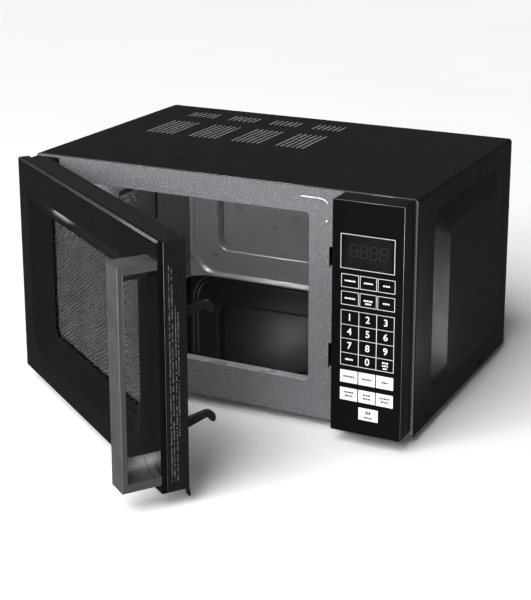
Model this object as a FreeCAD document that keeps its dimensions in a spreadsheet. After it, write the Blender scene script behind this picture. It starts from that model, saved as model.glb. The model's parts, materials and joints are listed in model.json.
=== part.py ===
import FreeCAD, Part
import Sketcher
import math
import os
import re

# A free-standing microwave oven: steel case, cooking cavity with a flat ceramic floor, the electrics
# beside it, a keypad panel and a side-hinged door with a bar handle and a hooked latch.
# Case coordinates: X across the front, Y from the front frame's face to the back, Z up from the floor
# that the feet stand on. The door and its latch are drawn closed and turned open about the hinge.

SIZES = {
    # case
    "case_w": 452, "case_d": 300, "case_top": 260, "skirt": 10, "metal": 1, "frame_metal": 1.2,
    "fold_r": 4, "emboss_out": 8, "mid_x": -41.3, "mid_y": 139.5,
    # vents in the wrapper's top
    "vent_x": -174.5, "vent_pitch": 56.6, "vent_w": 2.6, "vent_step": 6.5,
    "vent_front": 147, "vent_mid": 218, "vent_rear": 246, "vent_back": 273,
    # cavity
    "mouth_left": -190, "mouth_right": 107.4, "mouth_low": 48.6, "mouth_high": 232.3,
    "floor_z": 41, "roof_z": 233, "cavity_back": 278, "press_deep": 12, "plate_top": 46,
    "well_r": 95, "well_low": 28,
    "seal_w": 3.8, "lip_z": 48, "lip_y": 15,
    # door, closed
    "door_left": -225, "door_right": 145, "door_front": -30, "door_back": -2,
    "door_low": 15, "door_high": 259, "seam_y": -24, "cover_y": -3.9, "door_wall": 3,
    "dish_y": -22, "pane_left": -145, "pane_right": 80, "pane_low": 76, "pane_high": 207,
    # hinge
    "hinge_x": -219, "hinge_y": -9.5, "pin_r": 3, "running": 0.05, "ear_r": 6,
    "notch_high": 253.5, "notch_low": 20.5, "pin_long": 14, "door_rest": 34.8,
    # handle
    "grip_left": 120, "grip_front": -69, "grip_thick": 6, "grip_low": 25, "grip_high": 241,
    "arm_end": -37, "arm_edge": 8, "arm_tall": 22, "handle_screw_in": 4.7,
    # latch
    "hook_x": 135, "hook_w": 5, "upper_hook": 180, "lower_hook": 72, "slot_w": 10,
    # control panel
    "panel_left": 146.4, "panel_right": 223, "panel_wall": 2.5,
    "display_low": 190.5, "display_high": 224.5, "display_left": 159, "display_right": 211,
    # machine bay beside the cavity
    "bay_left": 112, "bay_right": 222, "tube_x": 165, "duct_half": 41, "yoke_low": 42, "yoke_high": 132,
    "fan_x": 167, "fan_z": 110, "fan_r": 43, "fan_y": 252, "motor_low": 12,
    "gland_x": 200, "gland_z": 36, "gland_r": 3.6,
    # feet
    "foot_x": 190, "foot_front": 45, "foot_rear": 262, "foot_r": 11,
    # the shared frame's origin, in case coordinates: the middle of the whole object's box at rest
    "frame_x": 0, "frame_y": 20,
}

V = FreeCAD.Vector
TURNED = {"x": FreeCAD.Rotation(V(0, 1, 0), 90),
          "y": FreeCAD.Rotation(V(1, 0, 0), -90),
          "z": FreeCAD.Rotation()}
doc = FreeCAD.newDocument("microwave_oven")
sheet = doc.addObject("Spreadsheet::Sheet", "dims")
for row, (alias, value) in enumerate(SIZES.items(), 1):
    sheet.set(f"A{row}", alias)
    sheet.set(f"B{row}", str(value))
    sheet.setAlias(f"B{row}", alias)
doc.recompute()

ALIAS = re.compile(r"\b(" + "|".join(SIZES) + r")\b")
nodes = []      # (the finished object, the moving body it belongs to)


# ---- expressions -------------------------------------------------------------------------------------

def bind(thing, prop, expression):
    """Tie a property to the sheet's cells."""
    thing.setExpression(prop, ALIAS.sub(r"dims.\1", str(expression)))


def number(expression):
    """The present value of an expression of the sheet's cells."""
    return FreeCAD.Units.Quantity(ALIAS.sub(lambda word: f"({SIZES[word.group()]})", str(expression))).Value


# ---- Part primitives and booleans --------------------------------------------------------------------

def block(name, x, y, z):
    """A box between a low and a high expression along each axis."""
    box = doc.addObject("Part::Box", name)
    for side, axis, (low, high) in (("Length", "x", x), ("Width", "y", y), ("Height", "z", z)):
        bind(box, side, f"({high}) - ({low})")
        bind(box, f"Placement.Base.{axis}", low)
    return box


def rod(name, radius, axis, ends, across):
    """A cylinder along an axis, from end to end, at the two coordinates across it."""
    bar = doc.addObject("Part::Cylinder", name)
    bind(bar, "Radius", radius)
    bind(bar, "Height", f"({ends[1]}) - ({ends[0]})")
    bar.Placement = FreeCAD.Placement(V(), TURNED[axis])
    places = iter(across)
    for way in "xyz":
        bind(bar, f"Placement.Base.{way}", ends[0] if way == axis else next(places))
    return bar


def join(name, parts):
    fused = doc.addObject("Part::MultiFuse", name)
    fused.Shapes = parts
    return fused


def carve(name, base, tools):
    """The base less its tools."""
    cut = doc.addObject("Part::Cut", name)
    cut.Base = base
    cut.Tool = tools[0] if len(tools) == 1 else join(name + "_tools", tools)
    return cut


def group(name, parts):
    """Separate solids that share one node."""
    together = doc.addObject("Part::Compound", name)
    together.Links = parts
    return together


# ---- sketches ----------------------------------------------------------------------------------------

def fix_point(sketch, geometry, point, u, v):
    """Hold a sketch point at two expressions from the sketch's origin."""
    for kind, expression in (("DistanceX", u), ("DistanceY", v)):
        place = sketch.addConstraint(Sketcher.Constraint(kind, -1, 1, geometry, point, number(expression)))
        bind(sketch, f"Constraints[{place}]", expression)


def outline(*points):
    """A closed outline of lines; a point marked "via" lies on an arc between its neighbours."""
    def draw(sketch):
        corners = [p for p in points if len(p) == 2]
        first = sketch.GeometryCount
        for i, (u, v) in enumerate(corners):
            here = V(number(u), number(v), 0)
            onward = corners[(i + 1) % len(corners)]
            there = V(number(onward[0]), number(onward[1]), 0)
            after = points[(points.index((u, v)) + 1) % len(points)]
            if len(after) == 3:
                middle = V(number(after[0]), number(after[1]), 0)
                anticlockwise = (middle - here).cross(there - middle).z > 0
                run = (here, middle, there) if anticlockwise else (there, middle, here)
                sketch.addGeometry(Part.Arc(*run), False)
            else:
                sketch.addGeometry(Part.LineSegment(here, there), False)
        ends = []
        for i, corner in enumerate(corners):
            edge = sketch.Geometry[first + i]
            here = V(number(corner[0]), number(corner[1]), 0)
            starts_here = edge.StartPoint.distanceToPoint(here) < edge.EndPoint.distanceToPoint(here)
            ends.append((1, 2) if starts_here else (2, 1))
        for i, corner in enumerate(corners):
            onward = (i + 1) % len(corners)
            sketch.addConstraint(
                Sketcher.Constraint("Coincident", first + i, ends[i][1], first + onward, ends[onward][0]))
            fix_point(sketch, first + i, ends[i][0], *corner)
            after = points[(points.index(corner) + 1) % len(points)]
            if len(after) == 3:
                mark = sketch.addGeometry(Part.Point(V(number(after[0]), number(after[1]), 0)), True)
                fix_point(sketch, mark, 1, after[0], after[1])
                sketch.addConstraint(Sketcher.Constraint("PointOnObject", mark, 1, first + i))
    return draw


def plate_outline(u, v, radius=0, low_radius=None):
    """A rectangle between the pairs u and v, its corners rounded to radius, or the low two to another."""
    if radius == 0:
        return outline((u[0], v[0]), (u[1], v[0]), (u[1], v[1]), (u[0], v[1]))
    low_radius = low_radius or radius
    radii = (radius, radius, low_radius, low_radius)

    def draw(sketch):
        inward = ("+", "-")
        centres = [(f"({u[right]}) {inward[right]} ({r})", f"({v[top]}) {inward[top]} ({r})")
                   for (right, top), r in zip(((1, 1), (0, 1), (0, 0), (1, 0)), radii)]
        arcs = []
        for turn, ((cu, cv), r) in enumerate(zip(centres, radii)):
            circle = Part.Circle(V(number(cu), number(cv), 0), V(0, 0, 1), number(r))
            arcs.append(Part.ArcOfCircle(circle, turn * math.pi / 2, (turn + 1) * math.pi / 2))
        first = sketch.GeometryCount
        for turn, arc in enumerate(arcs):
            sketch.addGeometry(arc, False)
            sketch.addGeometry(Part.LineSegment(arc.EndPoint, arcs[(turn + 1) % 4].StartPoint), False)
        for turn, ((cu, cv), r) in enumerate(zip(centres, radii)):
            arc, line, onward = first + 2 * turn, first + 2 * turn + 1, first + (2 * turn + 2) % 8
            sketch.addConstraint(Sketcher.Constraint("Tangent", arc, 2, line, 1))
            sketch.addConstraint(Sketcher.Constraint("Tangent", line, 2, onward, 1))
            size = sketch.addConstraint(Sketcher.Constraint("Radius", arc, number(r)))
            bind(sketch, f"Constraints[{size}]", r)
            fix_point(sketch, arc, 3, cu, cv)
    return draw


def ring(u, v, radius):
    def draw(sketch):
        round_line = Part.Circle(V(number(u), number(v), 0), V(0, 0, 1), number(radius))
        circle = sketch.addGeometry(round_line, False)
        size = sketch.addConstraint(Sketcher.Constraint("Radius", circle, number(radius)))
        bind(sketch, f"Constraints[{size}]", radius)
        fix_point(sketch, circle, 3, u, v)
    return draw


# ---- PartDesign bodies -------------------------------------------------------------------------------

def new_body(name):
    return doc.addObject("PartDesign::Body", name)


def origin_item(body, role):
    return next(item for item in body.Origin.OriginFeatures if item.Role == role)


def sketch_in(body, facing, level, *drawings):
    """A sketch parallel to the body's XY, XZ or YZ plane, at a level along the third axis."""
    sketch = body.newObject("Sketcher::SketchObject", body.Name + "_sketch")
    sketch.AttachmentSupport = [(origin_item(body, facing + "_Plane"), "")]
    sketch.MapMode = "FlatFace"
    bind(sketch, "AttachmentOffset.Base.z", f"-({level})" if facing == "XZ" else level)
    for draw in drawings:
        draw(sketch)
    return sketch


def pad(body, facing, ends, *drawings):
    """Material between two levels."""
    feature = body.newObject("PartDesign::Pad", body.Name + "_pad")
    feature.Profile = sketch_in(body, facing, ends[0], *drawings)
    bind(feature, "Length", f"({ends[1]}) - ({ends[0]})")
    feature.Reversed = facing == "XZ"
    body.Tip = feature
    return feature


def pocket(body, facing, ends, *drawings):
    """Material taken away between two levels."""
    doc.recompute()
    before = body.Shape.Volume
    feature = body.newObject("PartDesign::Pocket", body.Name + "_pocket")
    feature.Profile = sketch_in(body, facing, ends[0], *drawings)
    bind(feature, "Length", f"({ends[1]}) - ({ends[0]})")
    feature.Reversed = facing != "XZ"
    body.Tip = feature
    doc.recompute()
    if not body.Shape.isValid() or body.Shape.Volume > before - 0.01:
        raise RuntimeError(f"a pocket in {body.Name} cut nothing")
    return feature


def loft(body, kind, facing, levels, *outlines):
    """A loft through one outline at each level: kind is Additive or Subtractive."""
    sketches = [sketch_in(body, facing, level, draw) for level, draw in zip(levels, outlines)]
    feature = body.newObject(f"PartDesign::{kind}Loft", body.Name + "_loft")
    feature.Profile = sketches[0]
    feature.Sections = sketches[1:]
    feature.Ruled = True
    body.Tip = feature
    return feature


def repeat(body, feature, axis, step, count):
    """Copies of a feature in a row along an axis."""
    pattern = body.newObject("PartDesign::LinearPattern", body.Name + "_row")
    pattern.Originals = [feature]
    pattern.Direction = (origin_item(body, axis + "_Axis"), [""])
    bind(pattern, "Length", f"({step}) * {count - 1}")
    pattern.Occurrences = count
    body.Tip = pattern
    return pattern


def around(body, feature, count):
    """Copies of a feature about the body's own Z axis."""
    pattern = body.newObject("PartDesign::PolarPattern", body.Name + "_round")
    pattern.Originals = [feature]
    pattern.Axis = (origin_item(body, "Z_Axis"), [""])
    pattern.Angle = 360
    pattern.Occurrences = count
    body.Tip = pattern
    return pattern


def turned(name, *points):
    """A body of revolution: its half outline, radius and height, turned about the body's own Z axis."""
    body = new_body(name)
    sketch = sketch_in(body, "XZ", 0, outline(*points))
    feature = body.newObject("PartDesign::Revolution", name + "_turn")
    feature.Profile = sketch
    feature.ReferenceAxis = (sketch, ["V_Axis"])
    feature.Angle = 360
    body.Tip = feature
    return body


def soften(body, radius, wanted, kind="Fillet"):
    """Round or chamfer the edges of a body's last feature that the test picks."""
    doc.recompute()
    base = body.Tip
    edges = [f"Edge{i}" for i, edge in enumerate(base.Shape.Edges, 1) if wanted(edge)]
    if not edges:
        raise RuntimeError(f"no edge to round in {body.Name}")
    feature = body.newObject(f"PartDesign::{kind}", body.Name + "_edges")
    feature.Base = (base, edges)
    bind(feature, "Radius" if kind == "Fillet" else "Size", radius)
    body.Tip = feature
    return feature


def edge_at(**places):
    """A test for straight edges whose every point has the coordinates given."""
    def wanted(edge):
        return all(abs(getattr(vertex.Point, axis) - number(level)) < 0.01
                   for vertex in edge.Vertexes for axis, level in places.items())
    return wanted


# ---- placing -----------------------------------------------------------------------------------------

def rest_place(body):
    """Where a moving body's drawing goes in the shared frame, with the object at rest."""
    shift = FreeCAD.Placement(V(-number("frame_x"), -number("frame_y"), 0), FreeCAD.Rotation())
    if body not in ("door", "latch"):
        return shift
    hinge = V(number("hinge_x"), number("hinge_y"), 0)
    swing = FreeCAD.Rotation(V(0, 0, 1), -number("door_rest"))
    return shift * FreeCAD.Placement(V(), swing, hinge)


def finish(thing, body="case", at=(0, 0, 0), axis="z"):
    """Make a thing a node of the part: its Label names its file, its Placement puts it at rest."""
    doc.recompute()
    if not thing.Shape.isValid():
        raise RuntimeError(f"{thing.Name} is not a valid shape")
    own = FreeCAD.Placement(V(*[number(value) for value in at]), TURNED[axis])
    thing.Placement = rest_place(body) * own
    thing.Label = thing.Name
    nodes.append((thing, body))
    return thing


# ---- the case ----------------------------------------------------------------------------------------

def screw_marks():
    """The two screws in each side of the case, low down, as places in Y and Z."""
    return [("43", "skirt + 6"), ("210", "skirt + 6")]


def outer_wrapper():
    body = new_body("outer_wrapper")
    half, inner = "case_w/2", "case_w/2 - metal"
    pad(body, "XZ", (0, "case_d"), outline(
        (f"-{half}", "skirt"), (f"-{half}", "case_top"), (half, "case_top"), (half, "skirt"),
        (inner, "skirt"), (inner, "case_top - metal"), (f"-({inner})", "case_top - metal"),
        (f"-({inner})", "skirt")))
    for side in (1, -1):
        soften(body, "fold_r", edge_at(x=f"{side}*{half}", z="case_top"))
        soften(body, "fold_r - metal", edge_at(x=f"{side}*({inner})", z="case_top - metal"))
    foot_of_slope = plate_outline((45, 262), (36, 239), 20)
    raised = plate_outline((73, 240), (53, 217), 13)
    for side in (1, -1):
        for kind, back in (("Additive", "metal/2"), ("Subtractive", "metal*1.55")):
            levels = (f"{side}*({half} - {back})", f"{side}*({half} + emboss_out + metal/2 - {back})")
            loft(body, kind, "YZ", levels, foot_of_slope, raised)
    for ends in (("vent_front", "vent_mid"), ("vent_rear", "vent_back")):
        slots = [plate_outline((f"vent_x + vent_step*{i}", f"vent_x + vent_w + vent_step*{i}"), ends, 1.2)
                 for i in range(6)]
        row = pocket(body, "XY", ("case_top - 3", "case_top + 1"), *slots)
        repeat(body, row, "X", "vent_pitch", 4)
    pocket(body, "YZ", (f"-{half} - 1", f"{half} + 1"), *[ring(y, z, 1.8) for y, z in screw_marks()])
    finish(body)


def base_plate():
    body = new_body("base_plate")
    side, inner = "case_w/2 - metal - 0.3", "case_w/2 - 2*metal - 0.3"
    pad(body, "XZ", (9.2, "case_d - 11.2"), outline(
        (f"-({side})", "skirt"), (side, "skirt"), (side, "skirt + 12"), (inner, "skirt + 12"),
        (inner, "skirt + metal"), (f"-({inner})", "skirt + metal"), (f"-({inner})", "skirt + 12"),
        (f"-({side})", "skirt + 12")))
    slot = pocket(body, "XY", ("skirt - 1", "skirt + 2*metal"), plate_outline((125, 195), (105, 109), 1.9))
    repeat(body, slot, "Y", 9, 7)
    pocket(body, "YZ", ("-case_w/2", "case_w/2"), *[ring(y, z, 1.8) for y, z in screw_marks()])
    finish(body)


def rear_panel():
    """A shallow pan that closes the back, with the fan's intake, an outlet and the cord's hole."""
    body = new_body("rear_panel")
    side = "case_w/2 - metal - 0.4"
    low, high, back = "skirt + 1.2", "case_top - metal - 0.4", "case_d - 1"
    pad(body, "XZ", (f"{back} - 10", back), plate_outline((f"-({side})", side), (low, high), 2))
    pocket(body, "XZ", (f"{back} - 11", f"{back} - metal"), plate_outline(
        (f"-({side}) + metal", f"{side} - metal"), (f"{low} + metal", f"{high} - metal"), 1))
    through = (f"{back} - 3", f"{back} + 1")
    first_slot = plate_outline(("fan_x - 38", "fan_x + 38"), ("fan_z - 38", "fan_z - 34"), 1.9)
    intake = pocket(body, "XZ", through, first_slot)
    repeat(body, intake, "Z", 8, 10)
    outlet = pocket(body, "XZ", through, plate_outline((-170, -90), (190, 193.6), 1.7))
    repeat(body, outlet, "Z", 8, 5)
    pocket(body, "XZ", through, ring("gland_x", "gland_z", 8.2))
    pocket(body, "XZ", through, *[ring(x, z, 1.8) for x in (-212, 212) for z in (90, 240)])
    finish(body)


def latch_slots():
    """The two slots that the door's hooks enter, as drawings for the front frame."""
    sides = ("hook_x - slot_w/2", "hook_x + slot_w/2")
    return [plate_outline(sides, ("upper_hook - 3", "upper_hook + 19"), 1),
            plate_outline(sides, ("lower_hook - 4.5", "lower_hook + 23.5"), 1)]


def front_frame():
    body = new_body("front_frame")
    side, low, high = "case_w/2 - metal - 0.1", "skirt", "case_top - metal - 0.1"
    pad(body, "XZ", (0, 9), plate_outline((f"-({side})", side), (low, high), 3))
    pocket(body, "XZ", ("frame_metal", 10), plate_outline(
        (f"-({side}) + frame_metal", f"{side} - frame_metal"),
        (f"{low} + frame_metal", f"{high} - frame_metal"), 2))
    through = (-1, "frame_metal + 1")
    mouth = plate_outline(("mouth_left", "mouth_right"), ("mouth_low", "mouth_high"), 4.5)
    pocket(body, "XZ", through, mouth)
    pocket(body, "XZ", through, *latch_slots())
    pocket(body, "XZ", through, plate_outline((154, 216), (60, 232), 3))
    groove = plate_outline((98.8, 128.5), (245.6, 248.4), 1.3)
    pocket(body, "XZ", (-1, 0.5), groove, ring(128.7, 225.7, 2.2))
    finish(body)


def feet():
    for node, y in (("front_feet", "foot_front"), ("rear_feet", "foot_rear")):
        pair = []
        for side in (-1, 1):
            at = (f"{side}*foot_x", y)
            taper = doc.addObject("Part::Cone", node + "_cone")
            bind(taper, "Radius1", "foot_r - 2")
            bind(taper, "Radius2", "foot_r")
            bind(taper, "Height", "skirt - 3")
            bind(taper, "Placement.Base.x", at[0])
            bind(taper, "Placement.Base.y", at[1])
            flange = rod(node + "_flange", "foot_r + 1", "z", ("skirt - 3", "skirt"), at)
            hollow = rod(node + "_hollow", 4, "z", (3, 12), at)
            pair.append(carve(node + "_foot", join(node + "_pair", [taper, flange]), [hollow]))
        finish(group(node, pair))


def cord_gland():
    """A round grommet in the rear panel; the cord's way through it is open."""
    body = turned("cord_gland",
                  ("gland_r", 0), (10, 0), (10, 3), (8, 3), (8, 4), (12, 4), (12, 6.5), (8, 10),
                  ("gland_r", 10))
    finish(body, at=("gland_x", "case_d - 5", "gland_z"), axis="y")


def case_screws():
    parts = []
    for side in (-1, 1):
        for y, z in screw_marks():
            ends = ("case_w/2", "case_w/2 + 1.8") if side > 0 else ("-case_w/2 - 1.8", "-case_w/2")
            shank = ("case_w/2 - 7", "case_w/2") if side > 0 else ("-case_w/2", "-case_w/2 + 7")
            parts.append(join("side_screw", [rod("side_head", 3.8, "x", ends, (y, z)),
                                             rod("side_shank", 1.7, "x", shank, (y, z))]))
    for x in (-212, 212):
        for z in (90, 240):
            head = rod("head", 3.8, "y", ("case_d - 1", "case_d + 0.8"), (x, z))
            shank = rod("shank", 1.7, "y", ("case_d - 9", "case_d - 1"), (x, z))
            parts.append(join("back_screw", [head, shank]))
    finish(group("case_screws", parts))


# ---- the cooking cavity ------------------------------------------------------------------------------

def cavity_shell():
    """The steel oven, with a lip behind its mouth, a back wall pressed out and a well for the stirrer."""
    body = new_body("cavity_shell")
    start = "frame_metal"
    outer = ("mouth_left - metal", "mouth_right + metal")
    heights = ("floor_z - metal", "roof_z + metal")
    pad(body, "XZ", (start, "cavity_back + metal"), plate_outline(outer, heights, 5))
    wide = plate_outline(("mid_x - 140.7", "mid_x + 140.7"), (50, 224), 32)
    deep = plate_outline(("mid_x - 103.7", "mid_x + 103.7"), (87, 187), 12)
    loft(body, "Additive", "XZ", ("cavity_back + metal/2", "cavity_back + press_deep + metal"), wide, deep)
    pad(body, "XY", ("well_low - metal", "floor_z - metal/2"), ring("mid_x", "mid_y", "well_r + metal"))
    pocket(body, "XZ", (f"{start} - 1", "cavity_back"), plate_outline(
        ("mouth_left", "mouth_right"), ("floor_z", "roof_z"), 4))
    loft(body, "Subtractive", "XZ", ("cavity_back - metal/2", "cavity_back + press_deep"), wide, deep)
    pocket(body, "XY", ("well_low", "floor_z + 1"), ring("mid_x", "mid_y", "well_r"))
    pocket(body, "XY", ("well_low - 3", "well_low + 1"), ring("mid_x", "mid_y", 5))
    pocket(body, "YZ", ("mid_x + well_r - 15", "mid_x + well_r + 4"),
           plate_outline(("mid_y - 34", "mid_y + 34"), ("well_low + 1", "floor_z - metal - 1")))
    pad(body, "YZ", ("mouth_left - metal/2", "mouth_right + metal/2"), outline(
        (start, "lip_z - metal"), ("lip_y - metal", "lip_z - metal"),
        ("lip_y - metal", "floor_z - metal/2"),
        ("lip_y", "floor_z - metal/2"), ("lip_y", "lip_z"), (start, "lip_z")))
    lamp_holes = [ring(195 + 5 * i, 180 + 5 * j, 1.5) for i in range(5) for j in range(5)]
    pocket(body, "YZ", ("mouth_right - 1", "mouth_right + 3"), *lamp_holes)
    finish(body)


def floor_drawing(grow):
    """The ceramic floor's outline, grown all round."""
    return plate_outline((f"mid_x - 140.7 - {grow}", f"mid_x + 140.7 + {grow}"),
                         (f"lip_y + 5 - {grow}/2", f"cavity_back - 6 + {grow}/2"), 25)


def cavity_floor():
    plate = new_body("ceramic_floor_plate")
    pad(plate, "XY", ("floor_z", "plate_top"), floor_drawing(0))
    soften(plate, 0.8, edge_at(z="plate_top"))
    finish(plate)
    seal = new_body("floor_seal")
    pad(seal, "XY", ("floor_z", "plate_top - 1.6"), floor_drawing("seal_w"))
    pocket(seal, "XY", ("floor_z - 1", "plate_top"), floor_drawing(0.1))
    finish(seal)


# ---- the microwave source ----------------------------------------------------------------------------

def stirrer():
    """The antenna that turns in the well, its shaft and the flat motor below the well."""
    antenna = new_body("stirrer_antenna")
    pad(antenna, "XY", (6, 7.4), ring(0, 0, 62))
    pad(antenna, "XY", (3, 6.5), ring(0, 0, 9))
    slot = pocket(antenna, "XY", (5, 8), plate_outline((18, 54), (-7, 7), 6))
    around(antenna, slot, 5)
    pocket(antenna, "XY", (2, 9), ring(0, 0, 4))
    finish(antenna, "stirrer", ("mid_x", "mid_y", "well_low"))
    shaft = new_body("stirrer_shaft")
    pad(shaft, "XY", (-12, 9), ring(0, 0, 4))
    finish(shaft, "stirrer", ("mid_x", "mid_y", "well_low"))
    motor = new_body("stirrer_motor")
    top = "well_low - metal - 0.4"
    pad(motor, "XY", ("motor_low", top), ring(0, 0, 24))
    pad(motor, "XY", (f"{top} - 1.2", top), plate_outline((-33, 33), (-6, 6), 5))
    pocket(motor, "XY", ("motor_low + 3", "well_low"), ring(0, 0, "4 + running"))
    finish(motor, "case", ("mid_x", "mid_y", 0))


def waveguide():
    y, z = ("mid_y - duct_half", "mid_y + duct_half"), ("well_low - metal", "floor_z - metal - 0.1")
    tube = block("waveguide_tube", (30, "tube_x + 40"), y, z)
    inside = block("waveguide_inside", (29, "tube_x + 39"),
                   ("mid_y - duct_half + metal", "mid_y + duct_half - metal"),
                   ("well_low", "floor_z - 2*metal - 0.1"))
    well = rod("waveguide_well", "well_r + metal + 0.1", "z", (20, 50), ("mid_x", "mid_y"))
    port = rod("waveguide_port", 11, "z", ("floor_z - 4", 50), ("tube_x", "mid_y"))
    finish(carve("waveguide", tube, [inside, well, port]))


def magnetron():
    y = ("mid_y - 40", "mid_y + 40")
    case = block("yoke_case", ("tube_x - 45", "tube_x + 45"), y, ("yoke_low", "yoke_high"))
    flange = block("yoke_flange", ("tube_x - 50", "tube_x + 50"), ("mid_y - 46", "mid_y + 46"),
                   ("floor_z - metal", "yoke_low + 1"))
    inside = block("yoke_inside", ("tube_x - 43", "tube_x + 43"), ("mid_y - 60", "mid_y + 60"),
                   ("yoke_low + 2", "yoke_high - 2"))
    low_hole = rod("yoke_low_hole", 10, "z", (30, "yoke_low + 5"), ("tube_x", "mid_y"))
    top_hole = rod("yoke_top_hole", 10, "z", ("yoke_high - 4", "yoke_high + 4"), ("tube_x", "mid_y"))
    shell = join("yoke_shell", [case, flange])
    finish(carve("magnetron_yoke", shell, [inside, low_hole, top_hole]))

    core = [rod("anode", 19, "z", ("yoke_low + 3", "yoke_high - 3"), ("tube_x", "mid_y")),
            rod("antenna_stem", 8, "z", (31, "yoke_low + 4"), ("tube_x", "mid_y")),
            rod("cathode_stem", 8, "z", ("yoke_high - 4", "yoke_high + 8"), ("tube_x", "mid_y"))]
    for fin in range(6):
        z = f"yoke_low + 18 + {fin}*10"
        sides, depths = ("tube_x - 41", "tube_x + 41"), ("mid_y - 36", "mid_y + 36")
        core.append(block("fin", sides, depths, (z, f"{z} + 0.8")))
    finish(join("magnetron_core", core))

    box = block("filter_case", ("tube_x - 30", "tube_x + 30"), ("mid_y - 28", "mid_y + 28"),
                ("yoke_high", "yoke_high + 24"))
    hollow = block("filter_inside", ("tube_x - 29", "tube_x + 29"), ("mid_y - 27", "mid_y + 27"),
                   ("yoke_high + 1", "yoke_high + 23"))
    stem = rod("filter_hole", 9, "z", ("yoke_high - 2", "yoke_high + 2"), ("tube_x", "mid_y"))
    finish(carve("magnetron_filter_box", box, [hollow, stem]))


def transformer():
    """A laminated core with two windows, and two coils round its middle leg."""
    core = block("core_iron", (150, 218), (20, 86), (14, 80))
    windows = [block("window", x, (10, 96), (27, 67)) for x in ((161, 174), (194, 207))]
    finish(carve("hv_transformer_core", core, windows))
    coils = []
    for low, high in ((28, 46), (48, 66)):
        outer = block("coil_outer", (161.4, 206.6), (13, 93), (low, high))
        leg = block("coil_leg", (173.8, 194.2), (19.8, 86.2), (low - 1, high + 1))
        coils.append(carve("coil", outer, [leg]))
    finish(group("hv_transformer_windings", coils))


def capacitor():
    body = new_body("hv_capacitor")
    pad(body, "XZ", (198, 280), plate_outline((116, 166), ("skirt + 2", "skirt + 32"), 13))
    pad(body, "XZ", (190, 198.5), ring(130, "skirt + 17", 2.5), ring(152, "skirt + 17", 2.5))
    finish(body)
    diode = new_body("hv_diode")
    pad(diode, "XZ", (206, 228), ring(180, "skirt + 8", 4))
    pad(diode, "XZ", (200, 234), ring(180, "skirt + 8", 0.8))
    finish(diode)


# ---- cooling and lamp --------------------------------------------------------------------------------

def cooling_fan():
    plate = block("shroud_plate", ("bay_left + 1", "bay_right - 2"), ("fan_y - 4", "fan_y - 2"),
                  ("fan_z - 62", "fan_z + 54"))
    rim = rod("shroud_rim", "fan_r + 4", "y", ("fan_y - 4", "fan_y + 20"), ("fan_x", "fan_z"))
    bore = rod("shroud_bore", "fan_r + 2.5", "y", ("fan_y - 9", "fan_y + 25"), ("fan_x", "fan_z"))
    ringed = carve("shroud_ring", join("shroud_body", [plate, rim]), [bore])
    arm = block("shroud_arm", ("fan_x - 47", "fan_x + 47"), ("fan_y - 10", "fan_y - 8"),
                ("fan_z - 5", "fan_z + 5"))
    ends = [block("arm_end", x, ("fan_y - 9", "fan_y - 3"), ("fan_z - 5", "fan_z + 5"))
            for x in (("fan_x - 50", "fan_x - 46.2"), ("fan_x + 46.2", "fan_x + 50"))]
    spindle = rod("arm_hole", 4, "y", ("fan_y - 12", "fan_y - 6"), ("fan_x", "fan_z"))
    finish(join("fan_shroud", [ringed, carve("shroud_bridge", arm, [spindle]), *ends]))

    iron = block("motor_iron", ("fan_x - 20", "fan_x + 20"), ("fan_y - 26", "fan_y - 14"),
                 ("fan_z - 20", "fan_z + 30"))
    coil = block("motor_coil", ("fan_x - 12", "fan_x + 12"), ("fan_y - 30", "fan_y - 10.1"),
                 ("fan_z + 14", "fan_z + 36"))
    bearing = rod("motor_bearing", 7, "y", ("fan_y - 31", "fan_y - 10.1"), ("fan_x", "fan_z"))
    bore = rod("motor_bore", "1.6 + running", "y", ("fan_y - 29", "fan_y - 9"), ("fan_x", "fan_z"))
    finish(carve("fan_motor", join("motor_body", [iron, coil, bearing]), [bore]))

    blades = [rod("fan_hub", 13, "z", (0, 17), (0, 0)), rod("fan_spindle", 1.6, "z", (-28, 12), (0, 0))]
    for turn in range(5):
        blade = doc.addObject("Part::Box", "fan_vane")
        bind(blade, "Length", "fan_r - 11")
        blade.Width = 24
        blade.Height = 1.4
        pitch = FreeCAD.Placement(V(11, -12, 8.5), FreeCAD.Rotation(V(1, 0, 0), 32), V(0, 12, 0))
        spin = FreeCAD.Placement(V(), FreeCAD.Rotation(V(0, 0, 1), turn * 72))
        blade.Placement = spin * pitch
        blades.append(blade)
    reach = rod("fan_reach", "fan_r", "z", (-40, 30), (0, 0))
    vanes = doc.addObject("Part::Common", "fan_blade")
    vanes.Base = join("fan_vanes", blades)
    vanes.Tool = reach
    finish(vanes, "fan", ("fan_x", "fan_y", "fan_z"), "y")


def air_duct():
    y = ("mid_y + 42", "fan_y - 32")
    outside = block("duct_outside", ("bay_left + 4", "bay_right - 4"), y, (48, 156))
    inside = block("duct_inside", ("bay_left + 5.5", "bay_right - 5.5"), (150, 260), (49.5, 154.5))
    finish(carve("air_duct", outside, [inside]))


def lamp():
    bulb = turned("cavity_lamp", (0, 0), (5, 0), (5, 5), (8, 9), (8, 15), (4, 19), (0, 20))
    finish(bulb, at=(111, 205, 190), axis="x")
    socket = new_body("lamp_holder")
    pad(socket, "YZ", (131.2, 146), plate_outline((192, 218), (177, 203), 3))
    finish(socket)


def thermal_cutouts():
    parts = []
    places = (("wall_cutout", "mouth_right + metal", 70, 215), ("tube_cutout", "tube_x + 45", "mid_y", 120))
    for name, x, y, z in places:
        cap = rod(name + "_cap", 8, "x", (x, f"{x} + 6"), (y, z))
        body = rod(name + "_body", 6, "x", (f"{x} + 5", f"{x} + 11"), (y, z))
        parts.append(join(name, [cap, body]))
    finish(group("thermal_cutouts", parts))


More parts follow.
